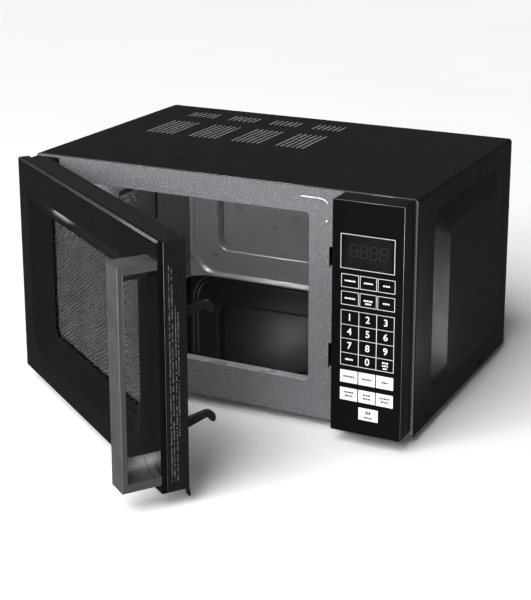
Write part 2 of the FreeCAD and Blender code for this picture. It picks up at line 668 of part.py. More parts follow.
def mains_filter():
    board = new_body("filter_board")
    pad(board, "XY", (200, 201.6), plate_outline((118, 214), (222, 282), 2))
    pocket(board, "XY", (199, 203), *[ring(x, y, 1.6) for x in (123, 209) for y in (227, 277)])
    finish(board)
    choke = doc.addObject("Part::Torus", "filter_coil")
    choke.Radius1 = 12
    choke.Radius2 = 5
    choke.Placement.Base = V(140, 248, 206.7)
    fuse = rod("mains_fuse", 3.2, "y", (230, 262), (170, 206))
    blocks = [block("fuse_clip", (166, 174), y, (201.6, 202.7)) for y in ((231, 237), (255, 261))]
    film = block("filter_capacitor", (186, 198), (232, 258), (201.6, 216))
    finish(group("filter_parts", [choke, fuse, film, *blocks]))


# ---- the door interlock ------------------------------------------------------------------------------

def interlock():
    """A bracket behind the latch slots with three switches."""
    left, inner, outer = "hook_x - 8", "hook_x + 7.5", "hook_x + 10.5"
    wall = block("bracket_wall", (inner, outer), (3, 58), (58, 214))
    foot = block("bracket_foot", (inner, "hook_x + 18"), ("frame_metal", 4), (58, 214))
    ledge = block("bracket_ledge", (left, outer), (3, 24), (174, 175.6))
    rest = block("bracket_rest", (left, outer), (3, 12), (64, 65.6))
    finish(join("switch_bracket", [wall, foot, ledge, rest]))

    switches = []
    sides = ("hook_x - 5", "hook_x + 7.4")
    for z in ("upper_hook + 5", "lower_hook + 5"):
        case = block("switch_case", sides, (36, 56), (f"{z} - 9", f"{z} + 9"))
        bore = rod("switch_bore", 1.55, "y", (35, 45), ("hook_x", z))
        chamber = rod("switch_chamber", 2.9, "y", (37, 46), ("hook_x", z))
        switches.append(carve("switch", case, [bore, chamber]))
    case = block("switch_case", sides, (14, 42), (44, 58))
    bore = rod("switch_bore", 1.55, "z", (50, 60), ("hook_x", 27))
    chamber = rod("switch_chamber", 2.9, "z", (48, 57), ("hook_x", 27))
    switches.append(carve("switch", case, [bore, chamber]))
    finish(group("door_switches", switches))


def plungers():
    """The switches' sprung push buttons, each with a collar inside its switch."""
    towards_door = {"upper_plunger": "upper_hook + 5", "lower_plunger": "lower_hook + 5"}
    for name, z in towards_door.items():
        stem = rod(name + "_stem", 1.5, "y", (32, 41), ("hook_x", z))
        collar = rod(name + "_collar", 2.5, "y", (37.6, 39), ("hook_x", z))
        finish(join(name, [stem, collar]), name)
    stem = rod("monitor_stem", 1.5, "z", (53, 62), ("hook_x", 27))
    collar = rod("monitor_collar", 2.5, "z", (55, 56.4), ("hook_x", 27))
    finish(join("monitor_plunger", [stem, collar]), "monitor_plunger")


# ---- the control panel -------------------------------------------------------------------------------

def control_panel():
    housing = new_body("panel_housing")
    sides, heights = ("panel_left", "panel_right"), ("door_low", "door_high")
    pad(housing, "XZ", ("door_front", -0.1), plate_outline(sides, heights, 2))
    soften(housing, 0.9, edge_at(y="door_front"), "Chamfer")
    pocket(housing, "XZ", ("door_front + panel_wall", 0), plate_outline(
        ("panel_left + panel_wall", "panel_right - panel_wall"),
        ("door_low + panel_wall", "door_high - panel_wall"), 1))
    pocket(housing, "XZ", ("door_front - 1", "door_front + 0.5"), plate_outline(
        ("panel_left + 2.4", "panel_right - 2.4"), ("door_low + 3", "door_high - 3"), 2))
    window = plate_outline(("display_left", "display_right"), ("display_low", "display_high"), 1)
    pocket(housing, "XZ", ("door_front - 1", "door_front + panel_wall + 1"), window)
    finish(housing)

    overlay = new_body("keypad_overlay")
    pad(overlay, "XZ", ("door_front", "door_front + 0.5"), plate_outline(
        ("panel_left + 2.5", "panel_right - 2.5"), ("door_low + 3.1", "door_high - 3.1"), 1.9))
    pocket(overlay, "XZ", ("door_front - 1", "door_front + 1"), window)
    finish(overlay)

    lens = new_body("display_window")
    pad(lens, "XZ", ("door_front + 0.1", "door_front + panel_wall"), plate_outline(
        ("display_left + 0.1", "display_right - 0.1"), ("display_low + 0.1", "display_high - 0.1"), 0.9))
    finish(lens)

    digits = new_body("display_module")
    pad(digits, "XZ", ("door_front + panel_wall + 0.4", "door_front + 10"), plate_outline(
        ("display_left + 3", "display_right - 3"), ("display_low + 4", "display_high - 4"), 1))
    finish(digits)

    board = new_body("control_board")
    pad(board, "XZ", (-16, -14.4), plate_outline((151, 219), (44, 246), 2))
    pocket(board, "XZ", (-17, -13), *[ring(x, z, 1.7) for x in (155, 215) for z in (49, 241)])
    finish(board)
    relays = [block("relay", x, (-14.4, -3), (70, 92)) for x in ((158, 174), (182, 198))]
    finish(group("relays", relays))
    buzzer = new_body("buzzer")
    pad(buzzer, "XZ", (-14.4, -7), ring(204, 118, 6.5))
    pocket(buzzer, "XZ", (-8, -6), ring(204, 118, 1.2))
    finish(buzzer)
    coil = new_body("board_transformer")
    pad(coil, "XZ", (-14.4, -2.4), plate_outline((158, 186), (150, 174), 2))
    finish(coil)


# ---- the door, drawn closed --------------------------------------------------------------------------

DOOR_SIDES = ("door_left", "door_right")
DOOR_HEIGHTS = ("door_low", "door_high")
SLOTS_FOR_HOOKS = [plate_outline(("hook_x - 3.6", "hook_x + 3.6"), (f"{hook} - 2", f"{hook} + 17"), 1)
                   for hook in ("upper_hook", "lower_hook")]


def clear_the_hinge(body):
    """Round the back edge beside the pins and cut the notches that the hinge ears stand in."""
    pocket(body, "XY", ("door_low - 1", "door_high + 1"), outline(
        ("door_left", "hinge_y + 1.5"), ("hinge_x - ear_r*0.7071", "hinge_y + 1.5 + ear_r*0.7071", "via"),
        ("hinge_x", "door_back"), ("hinge_x", 1), ("door_left - 2", 1), ("door_left - 2", "hinge_y + 1.5")))
    ear = plate_outline(("door_left - 1", "hinge_x + 9"), ("hinge_y - 8.5", 1))
    pocket(body, "XY", ("notch_high", "door_high + 1"), ear)
    pocket(body, "XY", ("door_low - 1", "notch_low"), ear)


def door_shells():
    front = new_body("door_front_shell")
    pad(front, "XZ", ("door_front", "seam_y"), plate_outline(DOOR_SIDES, DOOR_HEIGHTS, 2))
    soften(front, 1.3, edge_at(y="door_front"), "Chamfer")
    pad(front, "XZ", ("seam_y - 1", "dish_y"), plate_outline((-206, 108), (34, 233), 8))
    loft(front, "Subtractive", "XZ", ("door_front", "dish_y + 0.01"),
         plate_outline((-198, 100), (42, 225), 5, 34),
         plate_outline(("pane_left", "pane_right"), ("pane_low", "pane_high"), 2, 10))
    screw_holes = [ring(x, z, 2.2) for x, z in handle_screw_places()]
    pocket(front, "XZ", ("door_front - 1", "seam_y + 1"), *screw_holes)
    finish(front, "door")

    tray = new_body("door_rear_tray")
    inner = (("door_left + door_wall", "door_right - door_wall"),
             ("door_low + door_wall", "door_high - door_wall"))
    pad(tray, "XZ", ("seam_y", "cover_y"), plate_outline(DOOR_SIDES, DOOR_HEIGHTS, 2))
    pocket(tray, "XZ", ("seam_y - 1", 0), plate_outline(*inner, 2))
    blocks = [plate_outline(("door_left", "hinge_x + 11"), heights)
              for heights in (("notch_high - 26", "notch_high"), ("notch_low", "notch_low + 26"))]
    pad(tray, "XZ", ("hinge_y - 11", "cover_y"), *blocks)
    clear_the_hinge(tray)
    pin_bores = (("notch_high - pin_long + 1", "notch_high + 1"),
                 ("notch_low - 1", "notch_low + pin_long - 1"))
    for ends in pin_bores:
        pocket(tray, "XY", ends, ring("hinge_x", "hinge_y", "pin_r + running"))
    finish(tray, "door")


def door_window():
    glass = new_body("door_glass")
    pad(glass, "XZ", ("dish_y + 0.05", "dish_y + 2.5"), plate_outline(
        ("pane_left - 6", "pane_right + 6"), ("pane_low - 6", "pane_high + 6"), 5))
    finish(glass, "door")
    screen = new_body("door_screen")
    pad(screen, "XZ", ("dish_y + 2.6", "dish_y + 3.2"), plate_outline((-205, 108), (34, 233), 6))
    finish(screen, "door")
    opening = plate_outline((-158, 90), (62, 219), 6)
    choke = new_body("door_choke_frame")
    pad(choke, "XZ", ("dish_y + 3.3", "cover_y - 0.2"), plate_outline((-205, 110), (32, 237), 6))
    pocket(choke, "XZ", ("dish_y + 3", 0), opening)
    channel = (plate_outline((-204, 109), (33, 236), 5), plate_outline((-159, 91), (61, 220), 7))
    pocket(choke, "XZ", ("dish_y + 4.3", 0), *channel)
    finish(choke, "door")
    cover = new_body("door_choke_cover")
    pad(cover, "XZ", ("cover_y", "door_back"), plate_outline(DOOR_SIDES, DOOR_HEIGHTS, 2))
    pocket(cover, "XZ", ("cover_y - 1", 1), opening)
    pocket(cover, "XZ", ("cover_y - 1", 1), *SLOTS_FOR_HOOKS)
    clear_the_hinge(cover)
    pad(cover, "YZ", ("door_right - 6", "door_right"), outline(
        ("cover_y", "door_low + 4"), ("cover_y", "door_low"),
        (-2.6, "door_low - 7"), (-0.8, "door_low - 7.8"),
        (-0.6, "door_low - 6"), ("door_back", "door_low + 2"), ("door_back", "door_low + 4")))
    finish(cover, "door")
    film = new_body("door_inner_film")
    pad(film, "XZ", ("cover_y + 0.4", "cover_y + 1"), plate_outline((-157.8, 89.8), (62.2, 218.8), 5.8))
    finish(film, "door")


def handle_screw_places():
    middle = "grip_left + 12.5"
    return [(middle, "grip_high - handle_screw_in"), (middle, "grip_low + handle_screw_in")]


def arm_sections():
    """The section of each handle arm: thin at the door's free edge, tall on the side of the window."""
    left, right = "grip_left", "door_right"
    upper = outline((left, "grip_high"), (right, "grip_high"), (right, "grip_high - arm_edge"),
                    ("grip_left + 14", "grip_high - arm_edge - 2.6", "via"), (left, "grip_high - arm_tall"))
    lower = outline((left, "grip_low"), (right, "grip_low"), (right, "grip_low + arm_edge"),
                    ("grip_left + 14", "grip_low + arm_edge + 2.6", "via"), (left, "grip_low + arm_tall"))
    return upper, lower


def handle():
    grip = new_body("handle_grip")
    back = "grip_front + grip_thick"
    bar = plate_outline(("grip_left", "door_right"), ("grip_front", back), 1)
    pad(grip, "XY", ("grip_low", "grip_high"), bar)
    for section in arm_sections():
        pad(grip, "XZ", (f"{back} - 0.5", "arm_end"), section)
    screw_ways = [ring(x, z, 2.2) for x, z in handle_screw_places()]
    pocket(grip, "XZ", ("arm_end - 14", "arm_end + 1"), *screw_ways)
    finish(grip, "door")
    bases = []
    for name, section, (x, z) in zip(("upper", "lower"), arm_sections(), handle_screw_places()):
        base = new_body(f"handle_base_{name}")
        pad(base, "XZ", ("arm_end + 0.4", "door_front"), section)
        pocket(base, "XZ", ("arm_end - 1", "door_front + 1"), ring(x, z, 2.2))
        bases.append(base)
    finish(group("handle_bases", bases), "door")
    screws = []
    for x, z in handle_screw_places():
        head = rod("head", 4, "y", ("seam_y", "seam_y + 2.4"), (x, z))
        shank = rod("shank", 2, "y", ("arm_end - 12", "seam_y"), (x, z))
        screws.append(join("handle_screw", [head, shank]))
    finish(group("handle_screws", screws), "door")


def latch():
    """A sprung slider inside the door's free edge, with two hooks that reach out of its back."""
    slider = new_body("latch_slider")
    bar = plate_outline(("hook_x - 6", "hook_x + 6"), ("lower_hook - 6", "upper_hook + 30"), 2)
    pad(slider, "XZ", (-17, -13), bar)
    for hook in ("upper_hook", "lower_hook"):
        pad(slider, "YZ", ("hook_x - hook_w/2", "hook_x + hook_w/2"), outline(
            (-14, hook), (-14, f"{hook} + 9"), (2, f"{hook} + 9.6"), (19, f"{hook} + 13"),
            (27.4, f"{hook} + 11.2", "via"), (30, f"{hook} + 4.6"), (28.4, f"{hook} + 1.6", "via"),
            (25.2, f"{hook} + 2.6"), (21, f"{hook} + 7.2"), (3, f"{hook} + 1.2")))
    finish(slider, "latch")
    spring = new_body("latch_spring")
    wire = sketch_in(spring, "XZ", 0, ring(3.2, 0.45, 0.4))
    coil = spring.newObject("PartDesign::AdditiveHelix", "latch_spring_coil")
    coil.Profile = wire
    coil.ReferenceAxis = (wire, ["V_Axis"])
    coil.Mode = 0
    coil.Pitch = 3.4
    coil.Height = 24
    spring.Tip = coil
    finish(spring, "door", ("hook_x", -15, "upper_hook + 30.9"))


def hinges():
    """Each hinge: a plate on the frame's face, an ear over the notch and a pin down into the door."""
    ends = (("hinge_upper", -1, "notch_high + 1.5"), ("hinge_lower", 1, "notch_low - 1.5"))
    for name, way, ear_z in ends:
        low, high = (ear_z, f"{ear_z} + 2") if way < 0 else (f"{ear_z} - 2", ear_z)
        strip = block(name + "_strip", ("hinge_x - ear_r", "hinge_x + ear_r"), ("hinge_y", 0), (low, high))
        nose = rod(name + "_nose", "ear_r", "z", (low, high), ("hinge_x", "hinge_y"))
        down, up = (f"{ear_z} - pin_long", f"{ear_z} + 1"), (f"{ear_z} - 1", f"{ear_z} + pin_long")
        pin_ends = down if way < 0 else up
        pin = rod(name + "_pin", "pin_r", "z", pin_ends, ("hinge_x", "hinge_y"))
        span = (f"{low} - 28", high) if way < 0 else (low, f"{high} + 28")
        plate = block(name + "_plate", ("hinge_x - ear_r + 2", "hinge_x + 22"), (-1.6, 0), span)
        finish(join(name, [strip, nose, pin, plate]))


outer_wrapper()
base_plate()
rear_panel()
front_frame()
feet()
cord_gland()
case_screws()
cavity_shell()
cavity_floor()
stirrer()
waveguide()
magnetron()
transformer()
capacitor()
cooling_fan()
air_duct()
lamp()
thermal_cutouts()
mains_filter()
interlock()
plungers()
control_panel()
door_shells()
door_window()
handle()
latch()
hinges()

doc.recompute()
for thing in doc.Objects:
    if {"Invalid", "Error"} & set(thing.State):
        raise RuntimeError(f"{thing.Name} did not rebuild: {thing.State}")
os.makedirs("parts", exist_ok=True)
whole = FreeCAD.BoundBox()
for thing, _ in nodes:
    if thing.Shape.isNull() or not thing.Shape.isValid() or not thing.Shape.Solids:
        raise RuntimeError(f"{thing.Label} has no sound solid")
    thing.Shape.exportStep(f"parts/{thing.Label}.step")
    whole.add(thing.Shape.BoundBox)
print(len(nodes), "nodes; box", whole)
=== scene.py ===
import json
import math
import random

import bmesh
import bpy
from mathutils import Matrix, Vector


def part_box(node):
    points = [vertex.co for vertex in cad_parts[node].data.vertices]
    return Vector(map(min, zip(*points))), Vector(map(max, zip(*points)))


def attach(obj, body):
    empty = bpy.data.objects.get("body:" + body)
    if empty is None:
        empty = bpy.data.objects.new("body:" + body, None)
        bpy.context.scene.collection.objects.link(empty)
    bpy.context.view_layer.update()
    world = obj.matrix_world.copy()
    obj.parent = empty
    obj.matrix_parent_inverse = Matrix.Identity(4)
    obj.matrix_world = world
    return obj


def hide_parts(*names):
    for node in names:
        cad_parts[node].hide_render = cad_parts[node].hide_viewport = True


# A microwave oven with its door part open: finishes for every part of the frame, and the fine pieces that
# are made here. Lengths are in metres; MM turns a maker's millimetres into them.

MM = 0.001
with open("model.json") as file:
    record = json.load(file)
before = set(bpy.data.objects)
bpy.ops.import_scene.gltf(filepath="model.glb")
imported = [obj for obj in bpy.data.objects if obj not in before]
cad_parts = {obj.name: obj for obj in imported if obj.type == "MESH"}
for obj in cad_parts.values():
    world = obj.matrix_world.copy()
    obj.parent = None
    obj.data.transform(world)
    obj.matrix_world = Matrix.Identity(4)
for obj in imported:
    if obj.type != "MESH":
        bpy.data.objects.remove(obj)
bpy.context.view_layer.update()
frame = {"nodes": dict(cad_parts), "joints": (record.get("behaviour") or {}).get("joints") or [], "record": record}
nodes = frame["nodes"]


# ---- finishes ----------------------------------------------------------------------------------------

class Finish:
    """One material: its shader and the pattern nodes that feed it, all on object coordinates."""

    def __init__(self, name, colour, roughness, **sockets):
        self.material = bpy.data.materials.new(name)
        self.material.use_nodes = True
        self.tree = self.material.node_tree
        self.shader = self.tree.nodes["Principled BSDF"]
        self.place = self.add("ShaderNodeTexCoord").outputs["Object"]
        self.set(**{"Base Color": (*colour, 1), "Roughness": roughness, **sockets})

    def set(self, **sockets):
        for socket, value in sockets.items():
            self.shader.inputs[socket].default_value = value

    def add(self, kind, **settings):
        node = self.tree.nodes.new(kind)
        for key, value in settings.items():
            setattr(node, key, value)
        return node

    def join(self, source, target):
        self.tree.links.new(source, target)

    def noise(self, size, detail=3, stretch=(1, 1, 1)):
        """Cloudy noise whose lumps are about size across, drawn out along an axis by stretch."""
        pattern = self.add("ShaderNodeTexNoise")
        pattern.inputs["Scale"].default_value = 1 / size
        pattern.inputs["Detail"].default_value = detail
        self.join(self.stretched(stretch), pattern.inputs["Vector"])
        return pattern.outputs["Fac"]

    def cells(self, size, output="Distance", feature="F1"):
        """Scattered cells about size across."""
        pattern = self.add("ShaderNodeTexVoronoi", feature=feature)
        pattern.inputs["Scale"].default_value = 1 / size
        self.join(self.place, pattern.inputs["Vector"])
        return pattern.outputs[output]

    def lines(self, pitch, way):
        """Straight parallel lines a pitch apart, counted along an axis."""
        pattern = self.add("ShaderNodeTexWave", wave_type="BANDS", bands_direction=way)
        pattern.inputs["Scale"].default_value = 1 / pitch / 20 * math.tau
        self.join(self.place, pattern.inputs["Vector"])
        return pattern.outputs["Fac"]

    def stretched(self, stretch):
        if stretch == (1, 1, 1):
            return self.place
        mapping = self.add("ShaderNodeMapping")
        mapping.inputs["Scale"].default_value = [1 / s for s in stretch]
        self.join(self.place, mapping.inputs["Vector"])
        return mapping.outputs["Vector"]

    def between(self, source, low, high, start, end):
        """The source, from start to end, becomes a number from low to high."""
        spread = self.add("ShaderNodeMapRange")
        for socket, value in zip(("From Min", "From Max", "To Min", "To Max"), (start, end, low, high)):
            spread.inputs[socket].default_value = value
        self.join(source, spread.inputs["Value"])
        return spread.outputs["Result"]

    def tint(self, source, *stops):
        """Colours along the source: each stop is a place from 0 to 1 and a colour."""
        ramp = self.add("ShaderNodeValToRGB")
        band = ramp.color_ramp
        for number, (place, colour) in enumerate(stops):
            mark = band.elements[number] if number < 2 else band.elements.new(place)
            mark.position = place
            mark.color = (*colour, 1)
        self.join(source, ramp.inputs["Fac"])
        return ramp.outputs["Color"]

    def colour(self, source, *stops):
        self.join(self.tint(source, *stops), self.shader.inputs["Base Color"])

    def rough(self, source, low, high, start=0.3, end=0.7):
        self.join(self.between(source, low, high, start, end), self.shader.inputs["Roughness"])

    def bump(self, source, height, strength=1.0):
        """Raises the surface by up to height where the source is 1."""
        bump = self.add("ShaderNodeBump")
        bump.inputs["Distance"].default_value = height
        bump.inputs["Strength"].default_value = strength
        self.join(source, bump.inputs["Height"])
        self.join(bump.outputs["Normal"], self.shader.inputs["Normal"])


def grey(level):
    return (level, level, level)


def powder_coat(name="wrapper_powder_coat"):
    """Satin black powder coat with a fine pebble."""
    coat = Finish(name, grey(0.006), 0.36, **{"Specular IOR Level": 0.12})
    pebble = coat.noise(0.5 * MM, 2)
    coat.bump(pebble, 0.02 * MM, 0.5)
    coat.rough(coat.noise(30 * MM, 4), 0.32, 0.4)
    coat.colour(coat.noise(1.2 * MM, 2), (0.35, grey(0.005)), (0.7, grey(0.011)))
    return coat.material


def sparkle_enamel():
    """Metallic grey enamel with light flakes on the front frame."""
    enamel = Finish("frame_sparkle_enamel", grey(0.2), 0.42, Metallic=0.15)
    flakes = enamel.cells(1.5 * MM)
    bright, rim, deep = grey(0.95), grey(0.5), grey(0.12)
    between, base = (0.2, 0.206, 0.218), (0.15, 0.156, 0.168)
    enamel.colour(flakes, (0.0, bright), (0.13, rim), (0.2, between), (0.34, base), (1.0, deep))
    enamel.bump(enamel.noise(1.5 * MM, 2), 0.02 * MM, 0.4)
    return enamel.material


def cavity_enamel():
    """Smooth grey enamel inside the oven."""
    enamel = Finish("cavity_grey_enamel", grey(0.2), 0.3, Metallic=0.25)
    enamel.bump(enamel.noise(1.5 * MM, 3), 0.01 * MM, 0.3)
    enamel.rough(enamel.noise(40 * MM, 2), 0.27, 0.29)
    enamel.colour(enamel.noise(1.2 * MM, 2), (0.3, (0.2, 0.205, 0.215)), (0.7, (0.32, 0.325, 0.335)))
    return enamel.material


def glass_ceramic():
    """Gloss black ceramic plate."""
    plate = Finish("floor_plate_glass_ceramic", grey(0.003), 0.05, **{"Specular IOR Level": 0.02})
    plate.rough(plate.noise(25 * MM, 2), 0.03, 0.07)
    plate.bump(plate.noise(6 * MM, 2), 0.01 * MM, 0.3)
    return plate.material


def gloss_black(name, roughness=0.1):
    """High gloss moulded black, with faint ripple and wiping marks."""
    gloss = Finish(name, grey(0.004), roughness, **{"Specular IOR Level": 0.2})
    gloss.bump(gloss.noise(9 * MM, 2), 0.02 * MM, 0.25)
    gloss.rough(gloss.noise(35 * MM, 5, (1, 1, 2.5)), roughness * 0.7, roughness * 1.5)
    return gloss.material


def moulded_plastic(name, colour, roughness=0.5, pebble=0.6 * MM):
    """Moulded plastic with a spark-eroded grain; the near-black sheet behind the cavity's inlet uses it too, as
    painted shade.
    """
    light = [min(1, c * 1.25 + 0.002) for c in colour]
    plastic = Finish(name, colour, roughness)
    plastic.bump(plastic.noise(pebble, 3), 0.03 * MM, 0.5)
    plastic.rough(plastic.noise(18 * MM, 4), roughness - 0.07, roughness + 0.08)
    plastic.colour(plastic.noise(pebble * 2, 2), (0.3, colour), (0.75, light))
    return plastic.material


def clear_plastic(name, colour, roughness, bend=1.49):
    """A clear pane or bulb; a low bend stands for a pane coated against glare."""
    pane = Finish(name, colour, roughness, **{"Transmission Weight": 1.0, "IOR": bend})
    pane.rough(pane.noise(20 * MM, 4), roughness * 0.6, roughness * 1.6)
    return pane.material


def satin_silver():
    """Silver lacquer over the handle's moulding."""
    silver = Finish("handle_satin_silver", grey(0.4), 0.36, Metallic=1.0)
    silver.colour(silver.noise(0.35 * MM, 2), (0.3, (0.6, 0.61, 0.63)), (0.7, (0.8, 0.81, 0.83)))
    silver.bump(silver.noise(0.5 * MM, 2), 0.01 * MM, 0.5)
    silver.rough(silver.noise(20 * MM, 1), 0.35, 0.39)
    return silver.material


def zinc_plate():
    """Galvanised sheet with its spangle."""
    zinc = Finish("sheet_zinc_spangle", grey(0.5), 0.4, Metallic=1.0)
    spangle = zinc.cells(4 * MM, "Color")
    zinc.colour(spangle, (0.1, (0.44, 0.45, 0.46)), (0.9, (0.56, 0.57, 0.58)))
    zinc.rough(spangle, 0.38, 0.46)
    zinc.bump(zinc.noise(0.8 * MM, 3, (1, 6, 1)), 0.01 * MM, 0.4)
    return zinc.material


def milled_aluminium():
    metal = Finish("pressed_aluminium", grey(0.7), 0.32, Metallic=1.0)
    drawn = metal.noise(0.5 * MM, 3, (12, 1, 1))
    metal.colour(drawn, (0.3, (0.6, 0.61, 0.62)), (0.7, (0.78, 0.79, 0.8)))
    metal.bump(drawn, 0.01 * MM, 0.5)
    return metal.material


def laminated_iron():
    """Varnished stacked sheets."""
    iron = Finish("core_laminations", grey(0.08), 0.5, Metallic=0.6)
    sheets = iron.lines(0.7 * MM, "X")
    iron.bump(sheets, 0.1 * MM, 0.8)
    iron.colour(sheets, (0.2, (0.03, 0.028, 0.026)), (0.8, (0.11, 0.105, 0.1)))
    return iron.material


def wound_copper():
    copper = Finish("winding_copper", (0.5, 0.2, 0.08), 0.35, Metallic=0.9)
    turns = copper.lines(1.1 * MM, "Z")
    copper.bump(turns, 0.3 * MM, 0.9)
    copper.colour(turns, (0.1, (0.16, 0.05, 0.02)), (0.8, (0.6, 0.27, 0.12)))
    return copper.material


def circuit_board():
    """Green solder resist over etched tracks."""
    board = Finish("board_green_resist", (0.02, 0.12, 0.05), 0.3)
    tracks = board.cells(3.2 * MM, feature="DISTANCE_TO_EDGE")
    board.colour(tracks, (0.0, (0.05, 0.24, 0.1)), (0.14, (0.05, 0.24, 0.1)), (0.18, (0.012, 0.09, 0.035)))
    board.bump(tracks, 0.03 * MM, 0.4)
    return board.material


def ink(name, level):
    """Screen-printed ink with a slightly uneven film; the frame's white bead and stud use it too, as painted
    highlight.
    """
    print_ = Finish(name, grey(level), 0.45)
    print_.colour(print_.noise(1.5 * MM, 3), (0.3, grey(level * 0.93)), (0.7, grey(level)))
    print_.rough(print_.noise(4 * MM, 2), 0.4, 0.55)
    return print_.material


def edge_highlight_paint():
    """Light grey, part-metal finish for thin beads along black edges: painted highlight standing for the light
    those edges catch.
    """
    edge = Finish("edge_painted_highlight_coat", grey(0.3), 0.2, Metallic=0.5)
    edge.rough(edge.noise(12 * MM, 3), 0.12, 0.25)
    edge.bump(edge.noise(1.0 * MM, 2), 0.01 * MM, 0.4)
    return edge.material


def lip_painted_highlight():
    """Light grey finish on the vents' pressed lips: painted highlight standing for the light caught by their black
    coat.
    """
    lip = Finish("vent_lip_painted_highlight", grey(0.4), 0.4, Metallic=0.3)
    lip.colour(lip.noise(2 * MM, 3, (1, 8, 1)), (0.3, grey(0.3)), (0.7, grey(0.46)))
    lip.bump(lip.noise(0.5 * MM, 2), 0.01 * MM, 0.5)
    return lip.material


FINISHES = {
    "wrapper_black": powder_coat(),
    "frame_grey": sparkle_enamel(),
    "cavity_grey": cavity_enamel(),
    "ceramic_black": glass_ceramic(),
    "door_black": gloss_black("door_gloss_black"),
    "plastic_black": moulded_plastic("black_moulding", grey(0.006), 0.42),
    "clear_pane": clear_plastic("door_clear_pane", grey(0.95), 0.02, 1.06),
    "screen_black": gloss_black("screen_black_enamel", 0.3),
    "handle_silver": satin_silver(),
    "panel_black": gloss_black("panel_gloss_black", 0.12),
    "overlay_black": gloss_black("overlay_gloss_film", 0.14),
    "lens_smoked": clear_plastic("display_smoked_lens", grey(0.5), 0.04, 1.12),
    "zinc_steel": zinc_plate(),
    "bright_aluminium": milled_aluminium(),
    "core_iron": laminated_iron(),
    "copper_wire": wound_copper(),
    "rubber_black": moulded_plastic("foot_rubber", grey(0.01), 0.65, 1.0 * MM),
    "white_plastic": moulded_plastic("white_moulding", (0.7, 0.7, 0.68), 0.45),
    "board_green": circuit_board(),
    "lamp_glass": clear_plastic("lamp_clear_glass", (0.95, 0.93, 0.85), 0.03),
    "blue_plastic": moulded_plastic("relay_blue_case", (0.02, 0.07, 0.28), 0.4),
    "pale_film": clear_plastic("inner_film_frosted", grey(0.9), 0.8, 1.15),
    "white_ink": ink("keypad_white_ink", 0.85),
    "black_ink": ink("keypad_black_ink", 0.02),
    "grey_ink": ink("edge_grey_ink", 0.16),
    "unlit_segment": ink("display_unlit_segment", 0.11),
    # light grey beads on black edges: painted highlight lines
    "edge_painted_highlight": edge_highlight_paint(),
    # white bead and stud on the frame: painted highlight
    "frame_painted_highlight": ink("frame_highlight_white", 0.75),
    # light grey vent lips: painted highlight
    "lip_painted_highlight": lip_painted_highlight(),
    # near-black sheet behind the inlet grille: painted shade
    "inlet_painted_shade": moulded_plastic("inlet_painted_shade_sheet", grey(0.01), 0.6),
    "screw_black": powder_coat("screw_black_coat"),
}


def dress_frame():
    """Gives every part of the frame its finish; the door's film, which faces the food, is pale."""
    own = {"door_inner_film": "pale_film"}
    for part in frame["record"]["subparts"]:
        skin = nodes[part["node"]].data
        skin.materials.clear()
        skin.materials.append(FINISHES[own.get(part["node"], part["material_slot"])])


# ---- shaping -----------------------------------------------------------------------------------------

def slab(bm, low, high):
    """A block between two corners."""
    corners = bmesh.ops.create_cube(bm, size=1)["verts"]
    low, high = Vector(low), Vector(high)
    bmesh.ops.scale(bm, vec=high - low, verts=corners)
    bmesh.ops.translate(bm, vec=(low + high) / 2, verts=corners)
    return corners


def rod(bm, start, end, radius, sides=10):
    """A round bar from one point to another."""
    start, end = Vector(start), Vector(end)
    run = end - start
    turn = run.to_track_quat("Z", "Y").to_matrix().to_4x4()
    place = Matrix.Translation((start + end) / 2) @ turn
    return bmesh.ops.create_cone(bm, cap_ends=True, segments=sides, radius1=radius, radius2=radius,
                                 depth=run.length, matrix=place)["verts"]


def copies(bm, step, count):
    """Repeats all that a mesh holds, in a row."""
    first = bm.verts[:] + bm.edges[:] + bm.faces[:]
    for number in range(1, count):
        made = bmesh.ops.duplicate(bm, geom=first)["geom"]
        corners = [item for item in made if isinstance(item, bmesh.types.BMVert)]
        bmesh.ops.translate(bm, vec=Vector(step) * number, verts=corners)


def turned(bm, profile, place, steps=32):
    """A closed solid from a half outline of radius and height, turned about the place's own Z axis."""
    before = set(bm.verts)
    outline = [bm.verts.new((radius, 0, height)) for radius, height in profile]
    outline.append(bm.verts.new((0, 0, profile[-1][1])))
    edges = [bm.edges.new(pair) for pair in zip(outline, outline[1:])]
    bmesh.ops.spin(bm, geom=outline + edges, cent=(0, 0, 0), axis=(0, 0, 1), angle=math.tau,
                   steps=steps, use_merge=True)
    poles = [corner for corner in bm.verts if corner not in before]
    bmesh.ops.remove_doubles(bm, verts=poles, dist=0.001 * MM)
    made = [corner for corner in bm.verts if corner not in before]
    bmesh.ops.transform(bm, matrix=place, verts=made)


def cut_away(solid, tool):
    """The solid less the tool, both spent."""
    things = []
    for number, bm in enumerate((solid, tool)):
        bmesh.ops.recalc_face_normals(bm, faces=bm.faces[:])
        mesh = bpy.data.meshes.new(f"cut_{number}")
        bm.to_mesh(mesh)
        bm.free()
        things.append(bpy.data.objects.new(f"cut_{number}", mesh))
        bpy.context.scene.collection.objects.link(things[-1])
    cut = things[0].modifiers.new("cut", "BOOLEAN")
    cut.operation = "DIFFERENCE"
    cut.solver = "EXACT"
    cut.use_self = True
    cut.object = things[1]
    shape = things[0].evaluated_get(bpy.context.evaluated_depsgraph_get())
    result = bmesh.new()
    result.from_mesh(shape.to_mesh())
    for thing in things:
        bpy.data.objects.remove(thing)
    return result


def round_edges(bm, edges, width, segments):
    bmesh.ops.bevel(bm, geom=edges, offset=width, segments=segments, affect="EDGES",
                    profile=0.5, material=-1)


